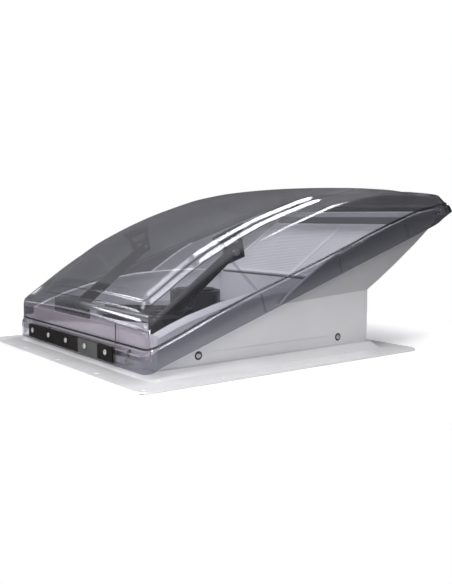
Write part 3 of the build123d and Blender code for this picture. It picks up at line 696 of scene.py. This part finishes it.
def hinge_leaves():
    """Black and grey leaves over the CAD ones, just proud of the lid's front, and their screws."""
    boss = [(3.9, 0.0), (4.2, 0.5), (5.6, 0.5), (6.1, 0.0)]
    for name, x0, x1, mat, slot in (
            ("leaf_long", -157.5, 14.6, HINGE, "black_plastic"),
            ("leaf_tab", 15.0, 72.5, TAB, "grey_plastic"),
            ("leaf_short", 73.0, 113.7, HINGE, "black_plastic")):
        shape = Shape().box(x0, x1, LEAF_FACE, LEAF_BACK, LEAF_LOW, LEAF_HIGH)
        for x in HINGE_SCREWS:
            if x0 < x < x1:
                shape.merge(Shape().lathe(boss, 32), at(x, LEAF_FACE, SCREW_Z) @ turn(90, "X"))
        make(name, shape.verts, shape.faces, mat, "lid", bevel=0.6)
    shape = Shape()
    for k, x in enumerate(HINGE_SCREWS):
        shape.merge(screw(3.9, 1.3, 1.9, 6.0),
                    at(x, LEAF_SCREW_SEAT, SCREW_Z) @ turn(90, "X") @ turn(37 * k, "Z"))
    make("leaf_screws", shape.verts, shape.faces, STEEL, "lid", ["hinge_screws"], angle=40)


housing_screws()
hinge_leaves()


# ------------------------------------------------------------------ rain shield
SHIELD_IN, SHIELD_OUT = 188.3, 190.3
FOOT_YZ, TAIL_YZ = (195.0, 98.6), (326.0, 183.6)   # lower and upper end of the grille
GRILLE_INNER, GRILLE_OUTER = 3.4, 181.0
GRILLE_PITCH, GRILLE_HOLE_R = 4.6, 1.5
GRILLE_THICK = 1.0


def shield_outline():
    """Side panel outline (y, z) with the lid open."""
    top = [lid_point(u, 28 if u < 520 else 24) for u in (345, 385, 430, 470, 510, 545)]
    y, z = lid_point(566.0, 16.0)
    tail = [(y + 6, z + 5), (y + 7, z - 6)]
    lower = [(327.5, 184.5), (289, 157), (243, 127), (207, 105), (181, 90.5)]
    front = [(100, 86), (8, 80), (24, 93.5), (46, 107), (75, 125), (100, 139)]
    return front + top + tail + lower


def shield_sides():
    """Side panels, coloured darker as painted shade, with a rolled bead along their leading edge
    coloured lighter as a painted highlight.
    """
    outline = shield_outline()
    for side, node in ((1, "shield_side_near"), (-1, "shield_side_far")):
        x0, x1 = sorted((side * SHIELD_IN, side * SHIELD_OUT))
        shape = Shape().plate(outline, x0, x1)
        make(node.replace("shield_side", "shield_panel"), shape.verts, shape.faces, SHIELD,
             "rain_shield", [node], bevel=0.5)
        # The bead is coloured lighter, as a painted highlight along the leading edge.
        bead = Shape()
        lead = [Vector((side * 190.0, y, z)) for y, z in outline[1:7]]
        bead.tube(lead, 1.8, 12)
        make(node.replace("shield_side", "shield_bead"), bead.verts, bead.faces, EDGE_HIGHLIGHT_WHITE,
             "rain_shield")


def perforated(x0, x1, y0, y1):
    """Flat sheet at z = 0 with an eight-sided hole in every cell."""
    nx, ny = round((x1 - x0) / GRILLE_PITCH), round((y1 - y0) / GRILLE_PITCH)
    sx, sy = (x1 - x0) / nx, (y1 - y0) / ny
    verts = [(x0 + i * sx, y0 + j * sy, 0.0) for j in range(ny + 1) for i in range(nx + 1)]
    faces = []
    ring = [(math.cos(math.radians(a)) * GRILLE_HOLE_R, math.sin(math.radians(a)) * GRILLE_HOLE_R)
            for a in np.arange(22.5, 360, 45)]
    for j in range(ny):
        for i in range(nx):
            cx, cy = x0 + (i + 0.5) * sx, y0 + (j + 0.5) * sy
            o = len(verts)
            verts += [(cx + dx, cy + dy, 0.0) for dx, dy in ring]
            a = j * (nx + 1) + i
            sw, se, ne, nw = a, a + 1, a + nx + 2, a + nx + 1
            faces += [(se, ne, o, o + 7), (ne, nw, o + 2, o + 1), (nw, sw, o + 4, o + 3),
                      (sw, se, o + 6, o + 5), (ne, o + 1, o), (nw, o + 3, o + 2),
                      (sw, o + 5, o + 4), (se, o + 7, o + 6)]
    return Shape().add(verts, faces)


def shield_grille():
    """Perforated outlet sheet, two halves between the frame's bars."""
    dy, dz = TAIL_YZ[0] - FOOT_YZ[0], TAIL_YZ[1] - FOOT_YZ[1]
    length = math.hypot(dy, dz)
    place = at(0, *FOOT_YZ) @ Matrix.Rotation(math.atan2(dz, dy), 4, "X") @ at(0, 0, 1.6)
    shape = Shape()
    for x0, x1 in ((-GRILLE_OUTER, -GRILLE_INNER), (GRILLE_INNER, GRILLE_OUTER)):
        shape.merge(perforated(x0, x1, 0.045 * length, 0.955 * length), place)
    obj = make("shield_grille", shape.verts, shape.faces, GRILLE, "rain_shield",
               ["shield_mesh"], smooth=False)
    mod = obj.modifiers.new("sheet", "SOLIDIFY")
    mod.thickness = GRILLE_THICK * MM
    mod.offset = 0


shield_sides()
shield_grille()


# ------------------------------------------------------------------ CAD nodes shown as they are
def dress(material, *names):
    """Give carried-over CAD nodes their material."""
    for name in names:
        mesh = NODES[name].data
        mesh.materials.clear()
        mesh.materials.append(material)
        mesh.shade_smooth()
        mesh.set_sharp_from_angle(angle=math.radians(28))


dress(WHITE, "base_housing", "ceiling_plate", "fan_shroud", "screen_frame", "hinge_rail")
dress(FLANGE, "mounting_flange")
dress(GRILLE, "shield_frame")
# The shield's header takes the same darker white of painted shade.
dress(SHIELD, "shield_header")
dress(BLACK, "motor_bracket", "gear_housing", "far_bearing", "lift_arm_near", "lift_arm_far",
      "lift_track_near", "lift_track_far", "fan_rotor", "control_box", "keypad_bezel")
dress(HINGE, "hinge_bar_long", "hinge_bar_short")
dress(GREY, "hinge_bar_tab", "lift_knob", "button_power", "button_mode", "button_faster",
      "button_slower")
dress(MOTOR, "motor_can")
dress(STEEL, "pivot_rivets", "shroud_screws", "bracket_screws",
      "motor_screws", "trim_screws", "rail_screws", "hub_nut")
dress(ZINC, "hinge_pin", "cross_shaft", "motor_shaft", "arm_rollers")
dress(FOAM, "deck_gasket")
dress(CABLE, "motor_cable")
dress(WIRE, "insect_screen")


# ------------------------------------------------------------------ floor, light, camera
FLOOR_R, FLOOR_Z = 0.52, -0.0006
# Size and height of the dark sheet of painted shade under the flange.
HOLE_SHADE_HALF, HOLE_SHADE_Z = 0.2385, -0.0003
LENS = 46.48
CAMERA_PLACE = (0.9632, -0.6609, 0.2015)
CAMERA_WAY = (-0.7965, 0.5961, -0.1012)


def stage_piece(name, verts, faces, mat):
    """Piece of the studio, which isn't part of the vent."""
    mesh = bpy.data.meshes.new(name)
    mesh.from_pydata(verts, [], faces)
    mesh.materials.append(mat)
    obj = bpy.data.objects.new(name, mesh)
    bpy.context.scene.collection.objects.link(obj)


def floor():
    """Round pale table, overlit so that it meets the white background without an edge."""
    rings, count = 16, 96
    verts = [(0, 0, FLOOR_Z)]
    for r in range(1, rings + 1):
        for k in range(count):
            a = 2 * math.pi * k / count
            verts.append((FLOOR_R * r / rings * math.cos(a), FLOOR_R * r / rings * math.sin(a),
                          FLOOR_Z))
    faces = [(0, 1 + k, 1 + (k + 1) % count) for k in range(count)]
    for r in range(rings - 1):
        a = 1 + r * count
        faces += [(a + k, a + count + k, a + count + (k + 1) % count, a + (k + 1) % count)
                  for k in range(count)]
    mat, nt, bsdf = tree("studio_floor")
    nt.links.new(blend_colour(nt, ramp(nt, noise(nt, 1.5), 0.0, 1.0), (0.90, 0.90, 0.90),
                              (0.88, 0.88, 0.88)), bsdf.inputs["Base Color"])
    bsdf.inputs["Roughness"].default_value = 0.9
    bsdf.inputs["Emission Color"].default_value = (1, 1, 1, 1)
    bsdf.inputs["Emission Strength"].default_value = 0.25
    stage_piece("floor", verts, faces, mat)


def flange_hole_painted_shade():
    """Dark sheet under the flange, seen only down its screw holes: painted shade inside the holes."""
    cells = 8
    verts = [(-HOLE_SHADE_HALF + 2 * HOLE_SHADE_HALF * i / cells, -HOLE_SHADE_HALF + 2 * HOLE_SHADE_HALF * j / cells, HOLE_SHADE_Z)
             for j in range(cells + 1) for i in range(cells + 1)]
    faces = [(j * (cells + 1) + i, j * (cells + 1) + i + 1, (j + 1) * (cells + 1) + i + 1,
              (j + 1) * (cells + 1) + i) for j in range(cells) for i in range(cells)]
    stage_piece("flange_hole_painted_shade", verts, faces,
                plastic("hole_painted_shade_sheet", (0.05, 0.05, 0.05), (0.08, 0.08, 0.08), 0.7))


def lamp(name, position, target, size, power):
    """Rectangular area lamp aimed at a point, in metres and watts."""
    data = bpy.data.lights.new(name, "AREA")
    data.shape = "RECTANGLE"
    data.size, data.size_y = size
    data.energy = power
    obj = bpy.data.objects.new(name, data)
    bpy.context.scene.collection.objects.link(obj)
    obj.location = position
    obj.rotation_mode = "QUATERNION"
    obj.rotation_quaternion = (Vector(target) - Vector(position)).to_track_quat("-Z", "Y")
    return obj


def studio():
    """Grey room for reflections behind a white backdrop, and five lamps."""
    world = bpy.data.worlds.new("studio")
    bpy.context.scene.world = world
    world.use_nodes = True
    nt = world.node_tree
    back = nt.nodes["Background"]
    path = nt.nodes.new("ShaderNodeLightPath")
    direct = nt.nodes.new("ShaderNodeMath")
    direct.operation = "SUBTRACT"
    direct.use_clamp = True
    nt.links.new(path.outputs["Is Camera Ray"], direct.inputs[0])
    nt.links.new(path.outputs["Transparent Depth"], direct.inputs[1])
    coord = nt.nodes.new("ShaderNodeTexCoord")
    split = nt.nodes.new("ShaderNodeSeparateXYZ")
    nt.links.new(coord.outputs["Generated"], split.inputs[0])
    room = blend_colour(nt, ramp(nt, split.outputs[2], 0.0, 1.0, 0.35, 0.9), (0.105, 0.105, 0.114),
                        (0.34, 0.34, 0.35))
    nt.links.new(blend_colour(nt, direct.outputs[0], room, (1.0, 1.0, 1.0)), back.inputs["Color"])
    strip = lamp("overhead", (0.24, 0.44, 1.6), (0.24, 0.44, 0.0), (1.3, 0.24), 18)
    strip.rotation_quaternion = Matrix.Rotation(math.radians(126), 3, "Z").to_quaternion()
    lamp("front_top", (0.57, -0.42, 1.6), (0.0, -0.1, 0.0), (0.45, 0.40), 3.5)
    lamp("rim", (-1.5, -0.5, 1.15), (0, -0.15, 0.1), (0.4, 0.4), 4)
    lamp("key", (0.66, -0.98, 0.24), (0.15, -0.2, 0.03), (0.36, 0.30), 5.5)
    lamp("fill", (-0.45, -1.5, 1.1), (0, 0, 0.05), (1.0, 0.7), 12)


def camera():
    """Camera of the rest view."""
    data = bpy.data.cameras.new("camera")
    data.sensor_fit = "AUTO"
    data.sensor_width = 36.0
    data.lens = LENS
    data.clip_start = 0.01
    obj = bpy.data.objects.new("camera", data)
    bpy.context.scene.collection.objects.link(obj)
    obj.location = CAMERA_PLACE
    obj.rotation_mode = "QUATERNION"
    obj.rotation_quaternion = Vector(CAMERA_WAY).to_track_quat("-Z", "Y")
    bpy.context.scene.camera = obj


floor()
flange_hole_painted_shade()
studio()
camera()
bpy.context.scene.view_settings.view_transform = "Standard"
